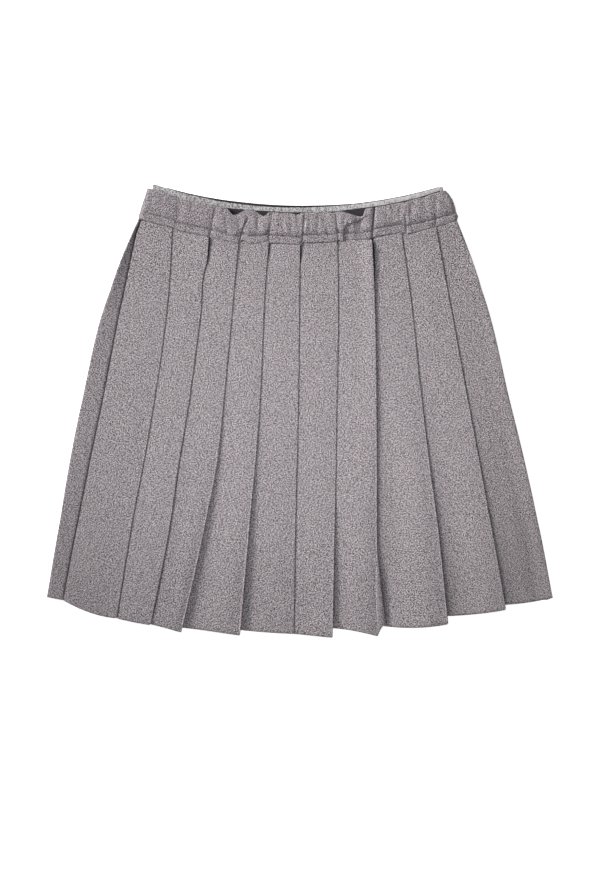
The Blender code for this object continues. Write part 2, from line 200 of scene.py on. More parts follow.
GAPE_START = 0.45  # share of a panel's width from which its edge lifts, just below the band
STAND_START = 0.6  # and from which it stands off further down
SLOT_WIDTH = 3.2 * MM  # slots beside the folds, just below the band
DIP_WIDTH = 1.1 * MM  # a panel dips over this width where it goes under the fold before it
DIP_SHARE = 0.8  # and the deeper, the higher it stands there
WEDGE_OPENING = 1.2 * MM  # the front's first fold draws back from the side just below the band
SEAM_CLEARANCE = 0.2 * MM
SEAM_RISE = 1.6 * MM  # pleats stand up a little where the band catches them
SEAM_LENGTH = 0.036  # over this share of the skirt's length
SIDE_RISE = 1.2 * MM  # the last panel rises to the wearer's left side
SINK_OVER = 0.2 * MM  # how far a wave can sink over the shorts
SINK_BESIDE = 6 * MM  # and how much further beside them
UNEVEN_SIZE = 38 * MM  # small chance rise and fall of cloth that has been handled
UNEVEN_DEPTH = 0.25 * MM

STATIONS = (0.0, 0.15, 0.43, 0.6, 0.75, 1.0)
LEVELS = (121 * MM, 11 * MM, -52.75 * MM, -109 * MM)  # y at the four stations between seam and hem

# Folds from the wearer's right to left: x at the six stations, y of the corner at the hem, how much higher
# the next panel's hem starts, how far the hem before the fold bows, and how far the fold's edge rolls open
# at the hem.  Then how far the edge gapes below the waist, how deep a slot is beside it, over what share of
# the length these two fade, how far the edge stands off all the way down, and how deep the next panel dips
# where it goes under the fold.  Millimetres.
Fold = namedtuple("Fold", ("waist upper middle thigh lower hem hem_y step bow roll"
                           " gape slot gape_length stand dip"),
                  defaults=(0, 0, 0, 0, 0, 0.10, 0, 0))
FRONT_FOLDS = (
    Fold(-159.7, -174.7, -196.6, -209.8, -220.8, -236.6, -189.6),
    Fold(-127.8, -131.4, -145.7, -156.7, -167.4, -183.5, -207.5, 0, -3.5, 0, 0, 0, 0.10, 0, 0.8),
    Fold(-91.8, -97.5, -110.9, -121.3, -129.2, -149.3, -214.1, 0.5, -0.6, 0, 1.6, 3, 0.11, 0.2, 0.8),
    Fold(-61.8, -66.2, -76.5, -83.2, -93.9, -118.5, -221.8, 4.6, 0.4, 0, 0.6, 0.3, 0.12, 0.2, 0.5),
    Fold(-31.2, -35.2, -40.1, -44.9, -50.1, -60, -224.8, 5.1, 0.4, 0, 0.8, 2.4, 0.08, 0.1, 0.7),
    Fold(0, -0.7, -1.9, -3.3, -4.7, -6.5, -223.3, 0, -0.3, 0, 0.7, 4, 0.08, 0, 0.8),
    Fold(37.2, 38.1, 36.7, 35.7, 34.6, 32.5, -226.9, 9.2, 0, 0, 0.4, 2, 0.03, 0, 0.6),
    Fold(71.8, 74.3, 76.4, 76.7, 76.8, 78.1, -225.8, 10.7, 1.3, 7.6, 2.2, 3.4, 0.20, 2, 0.3),
    Fold(101.1, 109.5, 121.5, 129.2, 136.8, 148.1, -213.4, 7.9, -3, 0, 0.2, 0.2, 0.20, 0.15, 0),
    Fold(135.6, 147.2, 167.5, 179.5, 189.8, 205.7, -199.1, 4.9, -1.2, 0, 0.2, 0.2, 0.20, 0.3, 0),
    Fold(157.4, 181.9, 209.7, 225.4, 237.7, 253.3, -187.7, 0, -1),
)
RIGHT_SIDE = Fold(-161.6, -189.7, -218, -230.8, -240.1, -253.4, -186.6)

# The third fold jogs sideways below the waist: share of the length, and x in millimetres.
JOG_FOLD = FRONT_FOLDS[2]
JOG = ((0, 0.6), (0.07, 1.4), (0.11, -1.4), (0.14, -1), (0.20, 0.6), (0.30, 0))

# How high each panel waves at the hem, at five even steps from fold to fold, and the share of the length at
# which the wave starts.  Millimetres.
Wave = namedtuple("Wave", "start left second centre fourth right")
WAVES = (
    Wave(0.30, 1.8, 1.8, 1.6, 1.9, 2.8),
    Wave(0.30, 2.8, 3.2, 3.9, 4.6, 5),
    Wave(0.30, 4.7, 4, 4.3, 5.3, 3.5),
    Wave(0.35, 0, 0.3, 1.9, 3.8, 3.1),
    Wave(0.55, -1.4, -0.4, 0.6, 1, 0.8),
    Wave(0.62, 0.6, 0.8, 1.5, 3, 3.3),
    Wave(0.15, 0.1, 0.3, 1.8, 1.9, -1.1),
    Wave(0.25, -4, -1.7, 1.1, 3.5, 2.8),
    Wave(0.25, 1.3, -0.8, 0, 1.6, 1.5),
    Wave(0.30, 0.9, -1.2, -2, -3.9, -4.5),
)

# Levels that the front skirt lies at, over the shorts and beside them, and the half widths of the shorts.
REST_BESIDE = 4.2 * MM
REST_OVER = 7.3 * MM
REST_SLOPE = 75 * MM
Girth = namedtuple("Girth", "y half_width")
SHORTS_GIRTHS = (
    Girth(215, 140),
    Girth(180, 146),
    Girth(60, 160),
    Girth(-47, 176),
    Girth(-135, 188),
)

Arc = namedtuple("Arc", "low radius")
FRONT_SEAM = Arc(166 * MM, 540 * MM)
BACK_SEAM = Arc(172 * MM, 707 * MM)

# How much of the rise at the seam is left: x in millimetres and share.
SEAM_CATCHES = (
    (-150, 0), (-92, 0.7), (-60, 0.5), (-30, 0.5), (0, 0.8), (30, 0.3), (80, 0.4), (150, 1.2),
)

# The front seam strays from its arc where the pleats are caught in it: x and how far up, in millimetres.
SEAM_STRAY = (
    (-165, 1), (-126, 1.8), (-123, 0.4), (-92.5, 0), (-60.5, -2.2), (-57.8, 1.9), (-50.7, -1.8),
    (-40, 0.2), (-32, 2.9), (-30.1, 0.8), (1.5, -0.3), (3.6, 2.6), (6.5, 1.8), (36, 1.5), (38, 3.6),
    (43.4, 1), (46.6, 3), (71.5, 0.7), (74.8, 2.8), (94.3, 2.6), (100.8, 3), (107.3, -0.3),
    (136.6, 0.4), (165, 0),
)


def ease(share):
    """Smooth step from 0 to 1."""
    t = min(max(float(share), 0.0), 1.0)
    return t * t * (3.0 - 2.0 * t)


def from_table(table, place):
    """Value at a place, from a table of places and values."""
    places, values = zip(*table)
    return np.interp(place, places, values)


def arc_y(arc, x):
    """y of an arc that is lowest at the skort's middle."""
    return arc.low + arc.radius - math.sqrt(arc.radius ** 2 - x ** 2)


def curve_through(stations, values, at):
    """Value at a place on a smooth curve through the values at the stations."""
    values = np.asarray(values, float)
    slopes = np.gradient(values, stations)
    k = min(max(int(np.searchsorted(stations, at, side="right")) - 1, 0), len(stations) - 2)
    span = stations[k + 1] - stations[k]
    t = (at - stations[k]) / span
    start = (1 + 2 * t) * (1 - t) ** 2 * values[k] + t * (1 - t) ** 2 * span * slopes[k]
    end = t * t * (3 - 2 * t) * values[k + 1] - t * t * (1 - t) * span * slopes[k + 1]
    return start + end


def front_seam_y(x):
    """Height of the seam under the front waistband."""
    return arc_y(FRONT_SEAM, x) + from_table(SEAM_STRAY, x / MM) * MM


def back_seam_y(x):
    """Height of the seam under the back waistband."""
    return arc_y(BACK_SEAM, x)


def fold_x(fold, v):
    """x of a fold at share v of the length."""
    jog = from_table(JOG, v) if fold is JOG_FOLD else 0.0
    return (curve_through(STATIONS, fold[:len(STATIONS)], v) + jog) * MM


def first_fold_x(v):
    """x of the front's first fold, which opens a wedge beside it just below the band."""
    return fold_x(FRONT_FOLDS[0], v) + WEDGE_OPENING * (1 - ease(v / SEAM_LENGTH))


def length_y(waist_y, hem_y, v):
    """y at share v of the length, for a point whose seam and hem heights are given."""
    return float(np.interp(v, STATIONS, (waist_y, *LEVELS, hem_y)))


def shorts_half_width(y):
    """Half width of the shorts at a height."""
    rows = SHORTS_GIRTHS[::-1]
    return np.interp(y, [row.y * MM for row in rows], [row.half_width * MM for row in rows])


def over_shorts(x, y):
    """1 where the shorts lie under the front skirt, falling to 0 a little way off them."""
    across = ease((shorts_half_width(y) + REST_SLOPE - abs(x)) / REST_SLOPE)
    along = ease((y - SHORTS_GIRTHS[-1].y * MM + REST_SLOPE) / REST_SLOPE)
    return across * along


def rest_height(x, y):
    """Level of what lies under the front skirt: the shorts where they are, else the back skirt."""
    return REST_BESIDE + (REST_OVER - REST_BESIDE) * over_shorts(x, y)


def panel_hem(before, after, share):
    """Hem height between two folds, with the corner at the second one rounded off."""
    start = (before.hem_y + before.step) * MM
    bow = 4 * after.bow * MM * share * (1 - share)
    width = (after.hem - before.hem) * MM
    corner = max(0.0, 1 - (1 - share) * width / HEM_CORNER)
    rounding = HEM_CORNER * (1 - math.sqrt(1 - min(corner, 1.0) ** 2))
    return start + (after.hem_y * MM - start) * share + bow + rounding * HEM_LIFT


def wave_height(wave, share, v):
    """How much a panel stands up at a share of its width and v of its length."""
    height = curve_through((0.0, 0.25, 0.5, 0.75, 1.0), wave[1:], share)
    return height * MM * ease((v - wave.start) / (1 - wave.start))


def below_band(fold, v):
    """Share of a fold's gape and slot that is left at share v of the length."""
    return 1 - ease(v / fold.gape_length)


def edge_height(fold, share, v):
    """How far a panel lifts towards its fold, at a share of its width."""
    gape = fold.gape * below_band(fold, v) * ease((share - GAPE_START) / (1 - GAPE_START))
    stand = fold.stand * ease(v / SEAM_LENGTH) * ease((share - STAND_START) / (1 - STAND_START))
    return (gape + stand) * MM


def sunk_beside(fold, away, v, height):
    """How far the next panel sinks beside a fold, at a distance from it."""
    dip = fold.dip * (MM + DIP_SHARE * max(height, 0.0)) * ease(1 - away / DIP_WIDTH)
    return dip + fold.slot * MM * below_band(fold, v) * ease(1 - away / SLOT_WIDTH)


PANEL_STEPS = 14  # columns of the mesh across a panel, round a fold and so on
TURN_STEPS = 9
TUCK_STEPS = 5
HIDDEN_STEPS = 4
SIDE_STEPS = 10
NEAR_FOLD = np.array((-0.9, -0.3, 0.1, 0.5, 1.0)) * MM  # closer columns beside the fold before a panel
NEAR_EDGE = np.array((3.4, 1.9, 1.4, 0.95, 0.5)) * MM  # and before its own edge
COLUMN_GAP = 0.03  # share of a panel between the closer columns and the even ones
FIRST_COLUMN = 0.04
LAST_COLUMN = 0.965
CLIMB_EASE = 0.35  # how softly a panel climbs over its own tuck
TURN_SINKS = 0.12  # the under side of a fold is this share lower than its edge
INNER_SHARE = 0.55  # an inner fold stands up this share as much as the panel above it
RETURN_SHARE = 0.3  # and the first fold's hidden return, this share as much as its edge
UPWARD = np.linspace(-math.pi / 2, math.pi / 2, TURN_STEPS)
DOWNWARD = np.linspace(math.pi / 2, -math.pi / 2, TURN_STEPS)


def side_fold(side, inward, hem_y, v, upper):
    """Points down round a side fold of the whole skirt; inward is the direction of its middle."""
    lower = FLANNEL / 2
    points = []
    for angle in np.linspace(math.pi / 2, -math.pi / 2, SIDE_STEPS):
        x = side + inward * SIDE_TURN * (1 - math.cos(angle))
        seam_y = front_seam_y(x) if angle > 0 else back_seam_y(x)
        y = length_y(seam_y - SEAM_CLEARANCE, hem_y, v)
        points.append((x, y, (upper + lower) / 2 + (upper - lower) / 2 * math.sin(angle)))
    return points


def front_section(v):
    """Front skirt at share v, from the side seam behind its first fold to the one under its last."""
    points = []
    depth = DEPTH_WAIST + (DEPTH_HEM - DEPTH_WAIST) * v
    radius = FRONT_LAYER / 2
    opening = max(0.0, (v - ROLL_START) / (1 - ROLL_START))

    def put(x, hem_y, layer, raised=0.0, sunk=0.0):
        y = length_y(front_seam_y(x) - SEAM_CLEARANCE, hem_y, v)
        at_hem = max(0.0, 1 - (1 - v) / (1 - STATIONS[-2]) * (LEVELS[-1] - hem_y) / HEM_EDGE)
        uneven = noise.noise(Vector((x / UNEVEN_SIZE, y / UNEVEN_SIZE, 0.5))) * UNEVEN_DEPTH
        uneven += SEAM_RISE * from_table(SEAM_CATCHES, x / MM) * (1 - ease(v / SEAM_LENGTH))
        lowest = -SINK_OVER - SINK_BESIDE * (1 - over_shorts(x, y))
        above = max(layer * FRONT_LAYER + raised + uneven, lowest)
        points.append((x, y, rest_height(x, y) + FLANNEL / 2 + above - HEM_DROOP * at_hem ** 2 - sunk))

    # The first fold opens to the right: tucked layer below, first panel above.
    first_hem = FRONT_FOLDS[0].hem_y * MM
    edge = first_fold_x(v)
    stands = wave_height(WAVES[0], 0.0, v)
    for along in np.linspace(1.0, 0.1, HIDDEN_STEPS):
        put(edge + EDGE_RETURN * along, first_hem, 1, stands * RETURN_SHARE)
    for angle in UPWARD:
        put(edge + radius * (1 - math.cos(angle)), first_hem, 1.5 + 0.5 * math.sin(angle), stands)

    start_layer = 2.0
    for number, (before, after) in enumerate(zip(FRONT_FOLDS, FRONT_FOLDS[1:-1])):
        left = fold_x(before, v) if number else first_fold_x(v)
        right = fold_x(after, v)
        width = right - left
        inner = right - depth
        inner_share = (inner - left) / width
        wave = WAVES[number]
        starts = wave_height(wave, 0.0, v)
        emerging = wave_height(WAVES[number + 1], 0.0, v)
        roll = after.roll * MM * opening
        left_roll = before.roll * MM * opening
        lip = LIP_SHARE * max(0.0, wave_height(wave, 1.0, v) - emerging) + CREASE_SHARE * roll

        def raised(share):
            curl = lip * ease(1 - (1 - share) * width / LIP_WIDTH)
            return wave_height(wave, share, v) + edge_height(after, share, v) + curl

        # Visible panel: it leaves the fold before at the lower level and climbs over its own tuck.
        near_fold = (left_roll + NEAR_FOLD) / width
        near_edge = 1 - NEAR_EDGE / width
        even = np.linspace(near_fold[-1] + COLUMN_GAP if number else FIRST_COLUMN, near_edge[0], PANEL_STEPS)
        for share in (*(near_fold if number else ()), *even[:-1], *near_edge):
            x = left + width * share
            climb = min(max(share / inner_share, 0.0), 1.0)
            climb += (ease(climb) - climb) * CLIMB_EASE
            sunk = sunk_beside(before, x - left - left_roll, v, starts) if number else 0.0
            put(x, panel_hem(before, after, share), start_layer + (2 - start_layer) * climb,
                raised(max(share, 0.0)), sunk)

        # Fold, then the tucked layer back to the inner fold.
        corner = after.hem_y * MM + HEM_CORNER * HEM_LIFT
        rise = after.step * MM if after.roll else 0.0
        stands = raised(1.0)
        for angle in DOWNWARD:
            turn = math.cos(angle)
            under = (1 - math.sin(angle)) / 2
            up = rise * (1 - (1 - turn) ** 2 if angle > 0 else 1.0)
            put(right - radius * (1 - turn) + roll * turn, corner + up, 1.5 + 0.5 * math.sin(angle),
                stands * (1 - TURN_SINKS * under) - roll * ROLL_DROP * under)
        tucked = max(panel_hem(before, after, max(inner_share, 0.0)), corner + after.step * MM) + TUCK_RISE
        lifted = stands * (1 - TURN_SINKS) - roll * ROLL_DROP
        inner_stands = raised(inner_share) * INNER_SHARE
        for along in np.arange(1, TUCK_STEPS) / TUCK_STEPS:
            put(right - radius + (inner + radius - right + radius) * along,
                corner + rise + (tucked - corner - rise) * along, 1, lifted + (inner_stands - lifted) * along)
        for angle in DOWNWARD:
            share = 0.5 + 0.5 * math.sin(angle)
            put(inner + radius * (1 - math.cos(angle)), tucked, share, inner_stands * share)
        for along in np.arange(1, HIDDEN_STEPS) / HIDDEN_STEPS:
            put(inner + radius + (right - 1.5 * MM - inner - radius) * along, tucked, 0,
                emerging * along ** 2, sunk_beside(after, 0.0, v, emerging) * along ** 2)
        start_layer = 0.0

    # Last panel, round the wearer's left side and back under to the side seam.
    before, last = FRONT_FOLDS[-2:]
    wave = WAVES[-1]
    left = fold_x(before, v)
    side = fold_x(last, v)
    near_fold = NEAR_FOLD / (side - left)
    for share in (*near_fold, *np.linspace(near_fold[-1] + COLUMN_GAP, LAST_COLUMN, PANEL_STEPS + 4)):
        x = left + (side - left) * share
        rise = SIDE_RISE * ease((share - STAND_START) / (1 - STAND_START))
        put(x, panel_hem(before, last, share), 0, wave_height(wave, max(share, 0.0), v) + rise,
            sunk_beside(before, x - left, v, wave_height(wave, 0.0, v)))
    y = length_y(front_seam_y(side), last.hem_y * MM, v)
    upper = rest_height(side, y) + FLANNEL / 2 + SIDE_RISE + wave_height(wave, 1.0, v)
    points.extend(side_fold(side, -1, last.hem_y * MM, v, upper))
    for along in (0.35, 0.65, 1.0):
        x = side - SIDE_RETURN * along
        points.append((x, length_y(back_seam_y(x) - SEAM_CLEARANCE, SIDE_SEAM_HEM, v), FLANNEL / 2))
    return points


def cloth_piece(name, rows, wall, material):
    """A sheet of cloth through rows of points from hem to waist; its UV map is the flat cut, in metres."""
    points = np.array(rows, float)
    row_count, column_count = points.shape[:2]
    across = np.linalg.norm(np.diff(points, axis=1), axis=2)
    along = np.linalg.norm(np.diff(points, axis=0), axis=2).mean(axis=1)
    cut_u = np.concatenate([np.zeros((row_count, 1)), np.cumsum(across, axis=1)], axis=1)
    cut_u -= cut_u[:, -1:] / 2
    cut_v = np.concatenate([[0.0], np.cumsum(along)])
    bm = bmesh.new()
    bmesh.ops.create_grid(bm, x_segments=column_count - 1, y_segments=row_count - 1, size=1.0)
    places = {}
    for vert in bm.verts:
        column = round((vert.co.x + 1) / 2 * (column_count - 1))
        row = round((vert.co.y + 1) / 2 * (row_count - 1))
        places[vert] = (row, column)
        vert.co = points[row, column]
    cut = bm.loops.layers.uv.new("cut")
    for face in bm.faces:
        face.smooth = True
        for loop in face.loops:
            row, column = places[loop.vert]
            loop[cut].uv = (cut_u[row, column], cut_v[row])
    piece = finished(bm, name, material)
    solid = piece.modifiers.new("wall", "SOLIDIFY")
    solid.thickness = wall
    solid.offset = 0.0
    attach(piece, "root")
    return piece


TUFT = 1.15 * MM  # tufts of fibres of one shade, a little coarser than real so that they show
TUFT_SHAPE = (1.0, 1.2, 1.0)  # and a little shorter along the skirt than across
HAIR = 0.6 * MM  # single hairs among them
HAIR_SHARE = 0.2


def coloured(tree, shader, pattern, low, high, dark, pale, relief, strength, distance):
    """Colours a pattern between dark, at its low value, and pale, and lets a relief catch the light."""
    spread = add_node(tree, "MapRange", {"Value": pattern, "From Min": low, "From Max": high})
    colour = add_node(tree, "Mix", {"Factor": spread.outputs["Result"], 6: linear(dark), 7: linear(pale)},
                      data_type="RGBA")
    tree.links.new(colour.outputs[2], shader.inputs["Base Color"])
    bump = add_node(tree, "Bump", {"Height": relief, "Strength": strength, "Distance": distance})
    tree.links.new(bump.outputs["Normal"], shader.inputs["Normal"])


def melange_flannel(name, pale, dark):
    """Brushed melange flannel: a fine salt and pepper of fibres, with a soft nap that catches light."""
    tree, shader, material = new_material(name, {
        "Roughness": 0.95, "Specular IOR Level": 0.15, "Sheen Weight": 0.22, "Sheen Roughness": 0.45,
        "Sheen Tint": linear("#efe6ea")})
    cut = add_node(tree, "UVMap", uv_map="cut").outputs["UV"]
    cut = add_node(tree, "VectorMath", {0: cut, 1: TUFT_SHAPE}, operation="MULTIPLY").outputs[0]
    tufts = add_node(tree, "TexNoise", {"Vector": cut, "Scale": 1 / TUFT, "Detail": 2.0, "Roughness": 0.7},
                     noise_dimensions="2D")
    hairs = add_node(tree, "TexVoronoi", {"Vector": cut, "Scale": 1 / HAIR}, voronoi_dimensions="2D")
    hair = add_node(tree, "SeparateColor", {"Color": hairs.outputs["Color"]}).outputs["Red"]
    mixed = add_node(tree, "Math", {0: hair, 1: HAIR_SHARE, 2: tufts.outputs["Fac"]},
                     operation="MULTIPLY_ADD").outputs[0]
    coloured(tree, shader, mixed, 0.45, 0.83, dark, pale, mixed, 0.5, 0.25 * MM)
    return material


flannel = melange_flannel("brushed_melange_flannel", "#eae1e5", "#171315")

SKIRT_ROWS = np.unique(np.concatenate([
    np.linspace(0.0, 0.03, 9), np.linspace(0.03, 0.15, 14), np.linspace(0.15, 0.75, 44),
    np.linspace(0.75, 0.96, 20), np.linspace(0.96, 1.0, 9),
]))[::-1]

front_skirt = cloth_piece("front_skirt_pleated", [front_section(v) for v in SKIRT_ROWS], FLANNEL, flannel)
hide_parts("front_skirt")


# --------------------------------------------
# Back skirt.  The same flannel and the same knife pleats, turned over, so that its folds face the table.
# Its last panel folds up at the wearer's right side and shows as a sliver beside the front.

BACK_LAYER = 1.1 * MM
BACK_HEM_MIDDLE = -210 * MM
BACK_HEM_RISE = 25 * MM
BACK_HEM_HALF_WIDTH = 253 * MM
DESCENT = 9 * MM  # a panel comes down to the table over this width
EMERGES = 1 * MM  # from this far before the fold that covers it
SEAM_GAP = 0.3 * MM
VALLEY_CREST = 2.6 * MM  # the side fold stands this much above the cloth's rest
VALLEY_FLOOR = 0.4 * MM  # level of the valley beside the front's first fold
VALLEY_END = 0.88  # share of the length at which its floor starts to rise to the hem
VALLEY_UNDER = 1.2 * MM  # and it goes on this far under the fold
DITCH_WALL = 0.9 * MM  # width of the valley's steep side
RIM_SHARE = 0.7  # that side starts at most this share of the way to the fold
STEADY_TOP = 0.60  # share of the drop before it, at the waist
STEADY_LOSS = 0.35  # and how much smaller that gets
STEADY_END = 0.45  # down to this share of the length

# Gap between that side and the front's first fold: share of the length, and millimetres.
DITCH_GAPS = ((0, 2.6), (0.03, 2), (0.06, 1.3), (1, 1.3))


def back_hem(x):
    """y of the back skirt's hem."""
    return BACK_HEM_MIDDLE + BACK_HEM_RISE * (x / BACK_HEM_HALF_WIDTH) ** 2


def back_section(v):
    """Back skirt at share v, from the wearer's left side seam round to the right one."""
    points = []
    depth = DEPTH_WAIST + (DEPTH_HEM - DEPTH_WAIST) * v
    radius = BACK_LAYER / 2

    def put(x, hem_y, layer):
        y = length_y(back_seam_y(x) - SEAM_CLEARANCE, hem_y, v)
        points.append((x, y, FLANNEL / 2 + layer * BACK_LAYER))

    start = fold_x(FRONT_FOLDS[-1], v) - SIDE_RETURN - SEAM_GAP
    for fold in FRONT_FOLDS[1:-1]:
        edge = -fold_x(fold, v)
        inner = edge + depth
        for along in np.linspace(0.0, 1.0, 9)[:-1]:
            x = start + (edge + radius - start) * along
            put(x, SIDE_SEAM_HEM if not points else back_hem(x), 0)
        for angle in UPWARD:
            x = edge + radius * (1 - math.cos(angle))
            put(x, back_hem(x), 0.5 + 0.5 * math.sin(angle))
        for along in (0.3, 0.7):
            x = edge + radius + (inner - edge - 2 * radius) * along
            put(x, back_hem(x) + TUCK_RISE * along, 1)
        for angle in UPWARD:
            x = inner - radius * (1 - math.cos(angle))
            put(x, back_hem(x) + TUCK_RISE, 1.5 + 0.5 * math.sin(angle))
        for along in (0.3, 0.7):
            x = inner - radius + (edge - EMERGES - inner + radius) * along
            put(x, back_hem(x) + TUCK_RISE, 2)
        for along in np.linspace(0.0, 1.0, 6):
            x = edge - EMERGES - DESCENT * along
            put(x, back_hem(x) + TUCK_RISE * (1 - along), 2 * (1 - ease(along)))
        start = x
    side = fold_x(RIGHT_SIDE, v)
    side_hem = RIGHT_SIDE.hem_y * MM
    for along in np.linspace(0.15, 0.85, 7):
        x = start + (side + SIDE_TURN - start) * along
        put(x, back_hem(x) + (side_hem - back_hem(x)) * along ** 3, 0)

    # Up round the wearer's right side, down into the valley beside the front's first fold, and under it.
    edge = first_fold_x(v)
    y = length_y(front_seam_y(side), side_hem, v)
    rest = rest_height(side, y) + FLANNEL / 2
    crest = rest + VALLEY_CREST
    points.extend(side_fold(side, 1, side_hem, v, crest)[::-1])
    floor_level = VALLEY_FLOOR + (rest - VALLEY_FLOOR) * ease((v - VALLEY_END) / (1 - VALLEY_END))
    steady = STEADY_TOP - STEADY_LOSS * ease(v / STEADY_END)
    outer = side + SIDE_TURN
    gap = from_table(DITCH_GAPS, v) * MM
    rim = edge - min(gap + DITCH_WALL / 2, RIM_SHARE * (edge - outer))
    spots = [(outer + (rim - outer) * along, steady * along) for along in np.linspace(0.1, 1.0, 7)]
    spots += [(rim + DITCH_WALL * along, steady + (1 - steady) * ease(along))
              for along in (0.25, 0.5, 0.75, 1.0)]
    spots += [(edge + VALLEY_UNDER, 1.0)]
    for x, sink in spots:
        along = (x - outer) / (edge - outer)
        hem_y = (RIGHT_SIDE.hem_y + (FRONT_FOLDS[0].hem_y - RIGHT_SIDE.hem_y) * along) * MM
        y = length_y(front_seam_y(x) - SEAM_CLEARANCE, hem_y, v)
        points.append((x, y, crest + (floor_level - crest) * sink))
    for along in (0.3, 0.6, 1.0):
        x = edge + EDGE_RETURN * along
        y = length_y(front_seam_y(x) - SEAM_CLEARANCE, FRONT_FOLDS[0].hem_y * MM, v)
        under = rest_height(x, y) + FLANNEL / 2 - SINK_OVER
        points.append((x, y, floor_level + (under - floor_level) * ease((along - 0.2) / 0.8)))
    return points


back_skirt = cloth_piece("back_skirt_pleated", [back_section(v) for v in SKIRT_ROWS], FLANNEL, flannel)
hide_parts("back_skirt")


# --------------------------------------------
# Inner shorts.  Plain charcoal cotton jersey in four panels, hemmed with a twin needle at the legs and
# caught in behind the waist elastic.

JERSEY = 0.8 * MM
SHORTS_BACK_LEVEL = 5.1 * MM
SHORTS_FRONT_LEVEL = 6.4 * MM
CROTCH_Y = -47 * MM
LEG_INNER_HEM = 18 * MM  # how far a leg's inner edge is from the middle at its hem
LEG_OPENS = 3.0  # the legs are fully apart at a third of the way down from the crotch
SHORTS_ROWS = 40
SHORTS_COLUMNS = 33
WALE = 1.6 * MM  # columns of loops, drawn a little wider than real so that they show
FIBRE = 0.9 * MM
FRONT_TOP = Arc(198 * MM, 487 * MM)
BACK_TOP = Arc(204.3 * MM, 504 * MM)

# How far the panels end below the top edges of front and back: x and distance in millimetres.
BELOW_FRONT = ((0, 9),)
BELOW_BACK = (
    (-150, 6.3), (-115, 6.3), (-105, 5.8), (-90, 5.9), (-70, 6.3), (-50, 6), (-35, 5.4),
    (-20, 5.6), (0, 5.7), (20, 6.3), (45, 5.4), (58, 5), (85, 5.1), (115, 4.8),
    (132, 4.1), (143, 3.4),
)

# Single jersey, dyed charcoal: fine wales of loops, dull and slightly hairy.
tree, shader, jersey = new_material("charcoal_cotton_jersey", {
    "Roughness": 0.9, "Specular IOR Level": 0.15, "Sheen Weight": 0.1})
cut = add_node(tree, "UVMap", uv_map="cut").outputs["UV"]
wales = add_node(tree, "TexWave", {"Vector": cut, "Scale": 1 / WALE, "Distortion": 1.2, "Detail": 2.0},
                 wave_type="BANDS", bands_direction="X")
fibres = add_node(tree, "TexNoise", {"Vector": cut, "Scale": 1 / FIBRE, "Detail": 2.0},
                  noise_dimensions="2D")
height = add_node(tree, "Math", {0: wales.outputs["Fac"], 1: 0.5, 2: fibres.outputs["Fac"]},
                  operation="MULTIPLY_ADD").outputs[0]
coloured(tree, shader, height, 0.3, 1.1, "#282527", "#464246", height, 0.4, 0.2 * MM)


def shorts_rows(side, top_arc, below, level):
    """Rows of one panel of the shorts from hem to waist, on one side of the middle."""
    rows = []
    bottom = SHORTS_GIRTHS[-1].y * MM
    for down in np.linspace(1.0, 0.0, SHORTS_ROWS):
        row = []
        for across in np.linspace(0.0, 1.0, SHORTS_COLUMNS):
            half_at_top = SHORTS_GIRTHS[0].half_width * MM * across
            top = arc_y(top_arc, half_at_top) - from_table(below, side * half_at_top / MM) * MM
            y = top + (bottom - top) * down
            leg = ease((CROTCH_Y - y) / (CROTCH_Y - bottom) * LEG_OPENS)
            inner = SEAM_GAP / 2 + (LEG_INNER_HEM - SEAM_GAP / 2) * leg
            x = inner + (shorts_half_width(y) - inner) * across
            row.append((side * x, y, level))
        rows.append(row if side > 0 else row[::-1])
    return rows


for panel, side, top_arc, below, level in (
    ("shorts_back_left", 1, BACK_TOP, BELOW_BACK, SHORTS_BACK_LEVEL),
    ("shorts_back_right", -1, BACK_TOP, BELOW_BACK, SHORTS_BACK_LEVEL),
    ("shorts_front_left", 1, FRONT_TOP, BELOW_FRONT, SHORTS_FRONT_LEVEL),
    ("shorts_front_right", -1, FRONT_TOP, BELOW_FRONT, SHORTS_FRONT_LEVEL),
):
    piece = cloth_piece(panel + "_jersey", shorts_rows(side, top_arc, below, level), JERSEY, jersey)
    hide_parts(panel)


# --------------------------------------------
# Waistbands.  Doubled strips of the same flannel, folded along the top edge.  The back one lies flat; the
# front one is a casing, gathered by the elastic inside it and sewn down along a channel above its seam.

BAND_TURN = 5 * MM  # how far a band's end rounds over
BAND_INSIDE = 3 * MM  # how much shorter its inner face is at an end
INNER_TURN = 1.5 * MM  # and how much tighter that turns
BAND_CLOTH = 0.7 * MM
BAND_ROLL = 0.5 * MM  # the cloth rolls under at the seam over this height
BAND_SEAM = 0.2 * MM  # and starts this much above it
TOP_TURN = 1 * MM
BACK_BAND_TOP = 3 * MM
SIDE_SEAM_LEVEL = 5.4 * MM
FRONT_BAND_INNER = 7.7 * MM
FRONT_BAND_OUTER = 10.6 * MM
FRONT_TOP_SINKS = 0.8 * MM  # the gathers draw the front's top edge down
SINK_END = 140 * MM  # as far as this from the middle
SINK_FADE = 40 * MM
CHANNEL = 8.2 * MM  # height of the sewn channel above the seam
GROOVE_WIDTH = 0.9 * MM  # its stitches pull the cloth in
PUCKER_WIDTH = 3.5 * MM  # the cloth puckers this far to either side of the groove
STRIP_TILT = 1.4 * MM  # how much the strip below it drops to the seam
PUFF = 2 * MM  # and how far the gathered cloth above it stands out
PUFF_STEEP = 4.0  # in full at a quarter of the way to the top edge
PUFF_FALLS = 0.6  # it falls off from this share on
PUFF_LOSS = 0.5  # by this share at the edge
STRIP_GATHERS = 0.3  # share of the gathers that is left on the strip
CREASE_FADE = 0.15  # creases go on by this share past their ends

